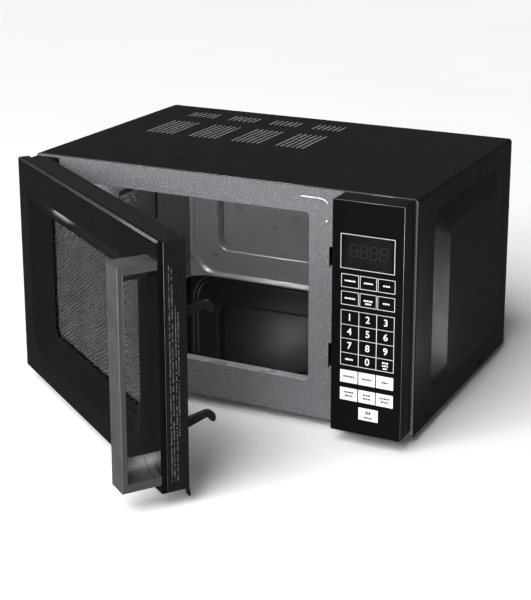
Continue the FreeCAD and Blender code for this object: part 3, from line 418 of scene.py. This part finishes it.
def make_piece(name, bm, finish, body, turn=None, smooth=False):
    """A finished piece: its mesh in place, its finish, and the body that it rides on."""
    bmesh.ops.recalc_face_normals(bm, faces=bm.faces[:])
    if turn is not None:
        bm.transform(turn)
    mesh = bpy.data.meshes.new(name)
    bm.to_mesh(mesh)
    bm.free()
    mesh.polygons.foreach_set("use_smooth", [smooth] * len(mesh.polygons))
    mesh.materials.append(finish)
    thing = bpy.data.objects.new(name, mesh)
    bpy.context.scene.collection.objects.link(thing)
    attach(thing, body)
    return thing


def door_turn():
    """The turn that takes a piece drawn on the shut door to the door's place at rest."""
    hinge = next(joint for joint in frame["joints"] if joint["name"] == "door_hinge")
    pin = Vector(hinge["pos_m"])
    shut = math.radians(hinge["range_deg"][0])
    swing = Matrix.Rotation(-shut, 4, Vector(hinge["axis"]))
    return Matrix.Translation(pin) @ swing @ Matrix.Translation(-pin)


def perforated(bm, left, right, low, high, pitch, hole, thick):
    """A sheet in X and Z, pierced all over with six-sided holes in staggered rows."""
    aside = pitch * math.sqrt(3) / 2
    cell_radius, web = pitch / math.sqrt(3), pitch - hole
    upright = Matrix.Rotation(math.pi / 2, 4, "X")
    for shift in ((0, 0), (aside, pitch / 2)):
        place = Matrix.Translation((left + shift[0], 0, low + shift[1])) @ upright
        cell = bmesh.ops.create_circle(bm, cap_ends=True, segments=6, radius=cell_radius, matrix=place)
        face = cell["verts"][0].link_faces[0]
        bmesh.ops.inset_region(bm, faces=[face], thickness=web / 2, use_boundary=True, use_even_offset=True)
        bmesh.ops.delete(bm, geom=[face], context="FACES")
    copies(bm, (aside * 2, 0, 0), int((right - left) / aside / 2))
    copies(bm, (0, 0, pitch), int((high - low) / pitch))
    bmesh.ops.remove_doubles(bm, verts=bm.verts[:], dist=pitch / 50)
    skin = bmesh.ops.extrude_face_region(bm, geom=bm.faces[:])["geom"]
    moved = [item for item in skin if isinstance(item, bmesh.types.BMVert)]
    bmesh.ops.translate(bm, vec=(0, thick, 0), verts=moved)


# ---- pieces on the case ------------------------------------------------------------------------------

PRINT_THICK = 0.06 * MM
KEY_COLUMNS = ((157, 175.9), (177.1, 195), (196.2, 214.4))
COLUMN_MIDDLES = [(left + right) / 2 for left, right in KEY_COLUMNS]
DIGIT_ROWS = (138.4, 123.3, 108.4, 94)
DIGIT_TALL = 7.4
TYPE_SIZE_OVER_HEIGHT = 1.37


def panel_face():
    """The front of the keypad's film."""
    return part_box("keypad_overlay")[0].y


def printed_block(bm, x, z, sink=0.0):
    """A patch of ink on the panel between the pairs x and z, in millimetres."""
    face = panel_face()
    slab(bm, (x[0] * MM, face - PRINT_THICK + sink, z[0] * MM), (x[1] * MM, face + sink, z[1] * MM))


def printed_frame(bm, x, z, line=0.42):
    """A printed outline."""
    printed_block(bm, x, (z[0], z[0] + line))
    printed_block(bm, x, (z[1] - line, z[1]))
    printed_block(bm, (x[0], x[0] + line), (z[0] + line, z[1] - line))
    printed_block(bm, (x[1] - line, x[1]), (z[0] + line, z[1] - line))


def keypad_lines():
    """The white outlines round the display, the two rows of function keys and the digits."""
    bm = bmesh.new()
    printed_frame(bm, (156, 213.5), (189.4, 225))
    for row in ((169.8, 183.6), (151.4, 165.6)):
        for column in KEY_COLUMNS:
            printed_frame(bm, column, row)
    printed_frame(bm, (157, 214.4), (87.5, 146))
    for x in (176.5, 195.6):
        printed_block(bm, (x - 0.25, x + 0.25), (88, 145.5))
    for z in (130.7, 116, 100.8):
        for left, right in ((157.6, 176.1), (176.9, 195.2), (196, 213.8)):
            printed_block(bm, (left, right), (z - 0.2, z + 0.2))
    return make_piece("keypad_lines", bm, FINISHES["white_ink"], "case")


def keypad_patches():
    """The seven filled keys."""
    bm = bmesh.new()
    for row in ((69, 82.3), (50, 63.3)):
        for column in KEY_COLUMNS:
            printed_block(bm, column, row)
    printed_block(bm, (177.6, 198.6), (31.5, 44.5))
    return make_piece("keypad_patches", bm, FINISHES["white_ink"], "case")


def digit(bm, mark, x, z):
    """A numeral of the moulder's plain sans, centred on a place of the panel."""
    letters = bpy.data.curves.new("numeral", "FONT")
    letters.body = mark
    letters.size = DIGIT_TALL * TYPE_SIZE_OVER_HEIGHT * MM
    letters.offset = 0.12 * MM
    letters.align_x = "CENTER"
    letters.align_y = "CENTER"
    letters.extrude = PRINT_THICK / 2
    letters.resolution_u = 4
    stand = bpy.data.objects.new("numeral", letters)
    mesh = bpy.data.meshes.new_from_object(stand)
    place = Matrix.Translation((x * MM, panel_face() - PRINT_THICK / 2, z * MM))
    mesh.transform(place @ Matrix.Rotation(math.pi / 2, 4, "X"))
    bm.from_mesh(mesh)
    bpy.data.objects.remove(stand)
    bpy.data.curves.remove(letters)
    bpy.data.meshes.remove(mesh)


def keypad_digits():
    bm = bmesh.new()
    for row, marks in zip(DIGIT_ROWS, ("123", "456", "789")):
        for x, mark in zip(COLUMN_MIDDLES, marks):
            digit(bm, mark, x, row)
    digit(bm, "0", COLUMN_MIDDLES[1], DIGIT_ROWS[3])
    bmesh.ops.remove_doubles(bm, verts=bm.verts[:], dist=0.001 * MM)
    return make_piece("keypad_digits", bm, FINISHES["white_ink"], "case")


def word_marks(bm, x, z, lengths, tall=1.5, sink=0.0):
    """A made-up line of short bars that stands for a key's wording, centred on a place."""
    gap = 0.55
    start = x - (sum(lengths) + gap * (len(lengths) - 1)) / 2
    for long in lengths:
        printed_block(bm, (start, start + long), (z - tall / 2, z + tall / 2), sink)
        start += long + gap


def keypad_wording():
    """Bars for the words on the outlined keys, and plain signs beside the nought."""
    bm = bmesh.new()
    words = ((1.6, 1.2, 2.2, 1.4, 2.6), (2.4, 1.2, 1.8, 2.2), (1.8, 2.6, 1.4))
    for middle, lengths in zip(COLUMN_MIDDLES, words):
        word_marks(bm, middle, 176.7, lengths)
        word_marks(bm, middle, 158.5, lengths[::-1])
    word_marks(bm, COLUMN_MIDDLES[1], 155.4, (1.2, 2.4, 1.6))
    word_marks(bm, COLUMN_MIDDLES[0], 94, (1.4, 2.4, 1.0, 1.6), 1.8)
    for z, lengths in ((96.6, (1.8, 1.2, 2.2)), (93.6, (1.4, 2.6, 1.2)), (90.6, (2.2, 1.6))):
        word_marks(bm, COLUMN_MIDDLES[2], z, lengths)
    return make_piece("keypad_wording", bm, FINISHES["white_ink"], "case")


def filled_key_wording():
    """Black bars on the filled keys."""
    bm = bmesh.new()
    over = -PRINT_THICK
    for number, middle in enumerate(COLUMN_MIDDLES):
        word_marks(bm, middle, 75.6, (1.8, 2.4, 1.6, 2.2, 1.8)[number:], 2, over)
        word_marks(bm, middle, 58.6, (2, 1.6, 2.8, 2.4)[: 4 - number % 2], 1.8, over)
        word_marks(bm, middle, 54.8, (2.8, 1.6, 2.2), 1.8, over)
    start_key = 188
    word_marks(bm, start_key, 40, (1.6, 1.2, 1.6), 3.6, over)
    word_marks(bm, start_key, 34.6, (2.8, 2, 2.4), 1.8, over)
    return make_piece("filled_key_wording", bm, FINISHES["black_ink"], "case")


def display_segments():
    """Four unlit figures of seven bars each behind the smoked lens, and the colon between them."""
    bm = bmesh.new()
    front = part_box("display_window")[1].y + 0.05 * MM
    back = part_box("display_module")[0].y - 0.02 * MM
    wide, tall, thick, lean = 7 * MM, 13 * MM, 0.9 * MM, 0.12
    level = [((-0.5, height), (0.5, height)) for height in (1, 0, -1)]
    upright = [((side, foot), (side, foot + 1)) for foot in (0, -1) for side in (-0.5, 0.5)]
    middle_z = 207.5 * MM
    for middle in (169.3, 179.8, 190.3, 200.8):
        for start, end in level + upright:
            ends = [Vector((x * wide, 0, z * tall / 2)) for x, z in (start, end)]
            along = (ends[1] - ends[0]).normalized() * thick * 0.65
            low, high = ends[0] + along, ends[1] - along
            across = Vector((thick / 2, 0, 0)) if start[0] == end[0] else Vector((0, 0, thick / 2))
            corners = slab(bm, low - across + Vector((0, front, 0)), high + across + Vector((0, back, 0)))
            for corner in corners:
                corner.co.x += corner.co.z * lean + middle * MM
                corner.co.z += middle_z
    colon_x = 185.4 * MM
    for dot_z in (middle_z - 2.4 * MM, middle_z + 2.4 * MM):
        rod(bm, (colon_x, front, dot_z), (colon_x, back, dot_z), 0.55 * MM, 10)
    make_piece("display_segments", bm, FINISHES["unlit_segment"], "case")
    bm = bmesh.new()
    low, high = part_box("display_window")
    slab(bm, (low.x, back - 0.03 * MM, low.z), (high.x, back, high.z))
    make_piece("display_backing", bm, FINISHES["plastic_black"], "case")


def vent_louvres():
    """The lips pressed down beside each slot of the wrapper's top, in light grey: painted highlight."""
    bm = bmesh.new()
    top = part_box("outer_wrapper")[1].z
    first, group_pitch, slot_pitch, slot_wide, clear, slope = -174.5, 56.6, 6.5, 2.6, 0.6, 0.45
    for group in range(4):
        for number in range(6):
            left = (first + group_pitch * group + slot_pitch * number) * MM
            for front, back in ((127, 198), (226, 253)):
                lip = slab(bm, (left, (front + clear) * MM, top - 1.5 * MM),
                           (left + slot_wide * MM, (back - clear) * MM, top - 1.1 * MM))
                for corner in lip:
                    corner.co.z -= (corner.co.x - left) * slope - 0.9 * MM
    return make_piece("vent_louvres", bm, FINISHES["lip_painted_highlight"], "case")


def wrapper_edge_highlight():
    """A light bead along the front edge of the wrapper's top: painted highlight."""
    bm = bmesh.new()
    low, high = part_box("front_frame")
    front, top, end = low.y - 0.1 * MM, high.z + 0.75 * MM, high.x - 3 * MM
    rod(bm, (-end, front, top), (end, front, top), 0.22 * MM, 8)
    return make_piece("wrapper_edge_highlight", bm, FINISHES["edge_painted_highlight"], "case", smooth=True)


def panel_edge_highlights():
    """Light beads along the control panel's edges: painted highlights."""
    bm = bmesh.new()
    low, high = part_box("panel_housing")
    inset, bead = 0.35 * MM, 0.2 * MM
    front, back, top = low.y + inset, high.y, high.z - inset
    left, right, foot = low.x + 2 * MM, high.x - inset, low.z + 2 * MM
    rod(bm, (left, front, top), (right, front, top), bead, 8)
    rod(bm, (left, back - inset, high.z), (right, back - inset, high.z), bead, 8)
    rod(bm, (right, front, foot), (right, front, top), bead, 8)
    return make_piece("panel_edge_highlights", bm, FINISHES["edge_painted_highlight"], "case", smooth=True)


def frame_trim():
    """A short bead and a stud pressed in the frame's top right corner, in white: painted highlights."""
    bm = bmesh.new()
    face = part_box("front_frame")[0].y
    route = [(98, 248.6), (118, 248.4), (123, 247.8), (126.4, 246.2), (128, 243.4)]
    for (x0, z0), (x1, z1) in zip(route, route[1:]):
        rod(bm, (x0 * MM, face, z0 * MM), (x1 * MM, face, z1 * MM), 0.8 * MM, 8)
    stud_x, stud_z = 127.2 * MM, 225.3 * MM
    rod(bm, (stud_x, face - 0.8 * MM, stud_z), (stud_x, face + 0.5 * MM, stud_z), 1.2 * MM, 14)
    return make_piece("frame_trim", bm, FINISHES["frame_painted_highlight"], "case", smooth=True)


def inlet_grille():
    """The pierced air inlet in the cavity's left wall, over a near-black sheet: painted shade for the dark opening
    behind it.
    """
    bm = bmesh.new()
    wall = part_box("cavity_shell")[0].x + 1.0 * MM
    perforated(bm, 0, 83 * MM, 0, 49 * MM, 4.2 * MM, 2.6 * MM, 0.3 * MM)
    corner = Matrix.Translation((wall + 0.35 * MM, 91 * MM, 141 * MM))
    along_wall = corner @ Matrix.Rotation(math.pi / 2, 4, "Z")
    make_piece("inlet_grille", bm, FINISHES["cavity_grey"], "case", along_wall)
    bm = bmesh.new()
    # near-black sheet behind the grille: painted shade
    slab(bm, (wall - 0.1 * MM, 89 * MM, 139 * MM), (wall + 0.04 * MM, 176 * MM, 193 * MM))
    make_piece("inlet_shade_sheet", bm, FINISHES["inlet_painted_shade"], "case")


def rounded_ring(bm, x, z, y, radius):
    """A loop in X and Z between the pairs of millimetres, its corners rounded; returns its edges."""
    before = set(bm.edges)
    made = bmesh.ops.create_grid(bm, x_segments=1, y_segments=1, size=0.5)["verts"]
    bmesh.ops.scale(bm, vec=((x[1] - x[0]) * MM, (z[1] - z[0]) * MM, 1), verts=made)
    middle = Matrix.Translation((sum(x) / 2 * MM, y, sum(z) / 2 * MM))
    bmesh.ops.transform(bm, matrix=middle @ Matrix.Rotation(math.pi / 2, 4, "X"), verts=made)
    bmesh.ops.bevel(bm, geom=made, offset=radius * MM, segments=10, affect="VERTICES",
                    profile=0.5, material=-1)
    return [edge for edge in bm.edges if edge not in before]


def cavity_back():
    """The oven's back, pressed out in two steps with rounded creases, in front of the shell's own wall."""
    bm = bmesh.new()
    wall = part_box("cavity_shell")[1].y - 14.2 * MM
    steps = ((148, (42.4, 231.6), -3, 5), (143.5, (47, 227), -3, 34), (139.5, (51, 223), 0, 30),
             (109, (81.7, 192.3), 0, 16), (103.7, (87, 187), 9, 12))
    middle = -41.3
    rings = [
        rounded_ring(bm, (middle - half, middle + half), z, wall + deep * MM, radius)
        for half, z, deep, radius in steps
    ]
    open_rings = {face for ring in rings[:4] for edge in ring for face in edge.link_faces}
    bmesh.ops.delete(bm, geom=list(open_rings), context="FACES_ONLY")
    for outer, inner in zip(rings, rings[1:]):
        bmesh.ops.bridge_loops(bm, edges=outer + inner)
    creases = sum(rings[1:], [])
    round_edges(bm, creases, 1.6 * MM, 4)
    back = make_piece("cavity_back", bm, FINISHES["cavity_grey"], "case", smooth=True)
    for face in back.data.polygons:
        face.use_smooth = abs(face.normal.y) < 0.9995
    return back


def screw_heads():
    """Domed heads with a cross recess, in place of the frame's plain ones."""
    heads, recesses = bmesh.new(), bmesh.new()
    side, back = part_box("case_screws")[1].xy
    places = [(Vector((way * side, y * MM, 16 * MM)), Vector((way, 0, 0)), 1.8)
              for way in (-1, 1) for y in (23, 190)]
    places += [(Vector((x * MM, back, z * MM)), Vector((0, 1, 0)), 0.8)
               for x in (-212, 212) for z in (90, 240)]
    for crown, out, tall in places:
        stand = Matrix.Translation(crown) @ out.to_track_quat("Z", "Y").to_matrix().to_4x4()
        dome = ((0, 0), (1.6, -0.06 * tall), (2.8, -0.28 * tall), (3.5, -0.6 * tall), (3.8, -tall))
        turned(heads, [(r * MM, z * MM) for r, z in dome], stand)
        for angle in (0.5, 0.5 + math.pi / 2):
            bar = slab(recesses, (-2.1 * MM, -0.4 * MM, -0.5 * tall * MM), (2.1 * MM, 0.4 * MM, 1 * MM))
            bmesh.ops.transform(recesses, matrix=stand @ Matrix.Rotation(angle, 4, "Z"), verts=bar)
    bm = cut_away(heads, recesses)
    screws = make_piece("screw_heads", bm, FINISHES["screw_black"], "case")
    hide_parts("case_screws")


# ---- pieces on the door ------------------------------------------------------------------------------

SHUT_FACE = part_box("front_frame")[0].y


def window_screen():
    """The pierced steel screen behind the door's window, in a plain margin."""
    bm = bmesh.new()
    turn = door_turn()
    shut = turn.inverted()
    depth = (shut @ (sum(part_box("door_screen"), Vector()) / 2)).y
    left, right, low, high = -152 * MM, 87 * MM, 68 * MM, 214 * MM
    perforated(bm, left, right, low, high, 4.4 * MM, 2.6 * MM, 0.5 * MM)
    bmesh.ops.translate(bm, vec=(0, depth - 0.25 * MM, 0), verts=bm.verts[:])
    lap, half_thick = 3 * MM, 0.3 * MM
    rim_left, rim_right, rim_low, rim_high = -205 * MM, 108 * MM, 34 * MM, 233 * MM
    beside = (low + lap, high - lap)
    across = (rim_left, rim_right)
    margins = ((across, (rim_low, low + lap)), (across, (high - lap, rim_high)),
               ((rim_left, left + lap), beside), ((right - lap, rim_right), beside))
    for (x0, x1), (z0, z1) in margins:
        slab(bm, (x0, depth - half_thick, z0), (x1, depth + half_thick, z1))
    screen = make_piece("window_screen", bm, FINISHES["screen_black"], "door", turn)
    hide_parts("door_screen")


def edge_marks():
    """Unreadable rows of tiny bars down the door's free edge, where an oven carries its small print."""
    bm = bmesh.new()
    draw = random.Random(7)
    side, face = 145, SHUT_FACE
    for y, low, high in ((-19.2, 26, 236), (-16.4, 26, 232), (-13.2, 26, 196), (-10.6, 70, 190)):
        z = low
        while z < high:
            long = draw.choice((0.7, 0.9, 1.2, 1.6))
            if draw.random() > 0.16:
                tall = draw.choice((0.6, 0.9, 1.2))
                slab(bm, (side * MM, face + (y - tall / 2) * MM, z * MM),
                     (side * MM + PRINT_THICK, face + (y + tall / 2) * MM, (z + long) * MM))
            z += long + 0.6
    return make_piece("edge_marks", bm, FINISHES["grey_ink"], "door", door_turn())


def door_edge_highlights():
    """Light beads along the door's top and down its free side: painted highlights."""
    bm = bmesh.new()
    face, left, right, low, top = SHUT_FACE - 30 * MM, -223 * MM, 143.7 * MM, 17 * MM, 259 * MM
    inset, bead = 1.2 * MM, 0.22 * MM
    rod(bm, (left, face + 0.1 * MM, top - inset), (right, face + 0.1 * MM, top - inset), bead, 8)
    rod(bm, (left, face + inset, top - 0.1 * MM), (right, face + inset, top - 0.1 * MM), bead, 8)
    rod(bm, (145 * MM, face + 6 * MM, low), (145 * MM, face + 6 * MM, top - inset), 0.12 * MM, 8)
    return make_piece("door_edge_highlights", bm, FINISHES["edge_painted_highlight"], "door", door_turn(), True)


def window_ledges():
    """Two fine raised lines across the slope under the window."""
    bm = bmesh.new()
    foot, rise, door_deep, slope_deep = 42, 34, 30, 8
    for left, right, z in ((-97, 95, 64), (-46, 84, 45)):
        y = SHUT_FACE + (-door_deep + (z - foot) / rise * slope_deep) * MM
        rod(bm, (left * MM, y, z * MM), (right * MM, y, z * MM), 0.25 * MM, 8)
    return make_piece("window_ledges", bm, FINISHES["door_black"], "door", door_turn(), True)


# ---- the room ----------------------------------------------------------------------------------------

ROOM_HALF = 6
WALL_RADIUS = 5.9
WALL_TALL = 8


def painted(name, bm, **sockets):
    """A surface of the room in pale matt paint, which the oven's blacks don't mirror."""
    mesh = bpy.data.meshes.new(name)
    bm.to_mesh(mesh)
    bm.free()
    surface = bpy.data.objects.new(name, mesh)
    bpy.context.scene.collection.objects.link(surface)
    paint = Finish(f"{name}_pale", grey(0.85), 0.9, **sockets)
    paint.colour(paint.noise(0.4, 2), (0.3, grey(0.84)), (0.7, grey(0.86)))
    mesh.materials.append(paint.material)
    surface.visible_glossy = False
    return surface


def floor():
    bm = bmesh.new()
    bmesh.ops.create_grid(bm, x_segments=1, y_segments=1, size=ROOM_HALF)
    painted("floor", bm)


def backdrop():
    """A wall all round the room; only a camera sees it, so it neither lights nor shades the oven."""
    bm = bmesh.new()
    bmesh.ops.create_cone(bm, cap_ends=False, segments=96, radius1=WALL_RADIUS, radius2=WALL_RADIUS,
                          depth=WALL_TALL)
    wall = painted("backdrop", bm, **{"Emission Strength": 1.0})
    wall.visible_diffuse = wall.visible_transmission = wall.visible_shadow = False


def lamp(name, place, aim, size, power, spin=0):
    """A soft box at a place, facing another, spun about the line between; a camera sees only its light."""
    data = bpy.data.lights.new(name, "AREA")
    data.shape = "RECTANGLE"
    data.size, data.size_y = size
    data.energy = power
    box = bpy.data.objects.new(name, data)
    box.location = place
    facing = (Vector(aim) - Vector(place)).to_track_quat("-Z", "Y").to_matrix()
    box.rotation_euler = (facing @ Matrix.Rotation(math.radians(spin), 3, "Z")).to_euler()
    box.visible_camera = False
    bpy.context.scene.collection.objects.link(box)


def studio():
    world = bpy.data.worlds.new("studio")
    world.use_nodes = True
    world.node_tree.nodes["Background"].inputs["Color"].default_value = (1, 1, 1, 1)
    world.node_tree.nodes["Background"].inputs["Strength"].default_value = 0.08
    bpy.context.scene.world = world
    bpy.context.scene.view_settings.view_transform = "Standard"
    sun = bpy.data.lights.new("overhead_diffuser", "SUN")
    sun.energy = 4.6
    sun.angle = math.radians(50)
    hung = bpy.data.objects.new("overhead_diffuser", sun)
    hung.rotation_euler = Vector((0.2, 1.0, -1.0)).to_track_quat("-Z", "Y").to_euler()
    bpy.context.scene.collection.objects.link(hung)
    lamp("oven_light", (-0.186, 0.0, 0.226), (0.06, 0.27, 0.13), (0.05, 0.02), 0.8)
    lamp("front_fill", (0.5, -2.2, 0.45), (0, 0, 0.1), (0.6, 0.3), 9)
    lamp("dish_card", (-0.42, 0.2, 0.004), (-0.42, 0.2, 1), (0.24, 0.16), 0.2)
    lamp("front_left_box", (-1.3, -1.9, 1.0), (0, -0.1, 0.13), (0.8, 0.8), 26)
    lamp("side_card", (0.525, 0.26, 0.004), (0.525, 0.26, 1), (0.36, 0.1), 1.1, -38)


def camera():
    """Stands in front and to the right, a little above the oven, with its lens shifted down."""
    data = bpy.data.cameras.new("camera")
    data.lens = 86.19
    data.shift_x, data.shift_y = -0.0112, -0.2
    eye = bpy.data.objects.new("camera", data)
    eye.location = (0.698695, -1.294461, 0.626667)
    eye.rotation_euler = (math.radians(90 - 14.394), 0, math.radians(26.418))
    bpy.context.scene.collection.objects.link(eye)
    bpy.context.scene.camera = eye


dress_frame()
keypad_lines()
keypad_patches()
keypad_digits()
keypad_wording()
filled_key_wording()
display_segments()
vent_louvres()
wrapper_edge_highlight()
panel_edge_highlights()
frame_trim()
inlet_grille()
cavity_back()
screw_heads()
window_screen()
edge_marks()
door_edge_highlights()
window_ledges()
floor()
backdrop()
studio()
camera()
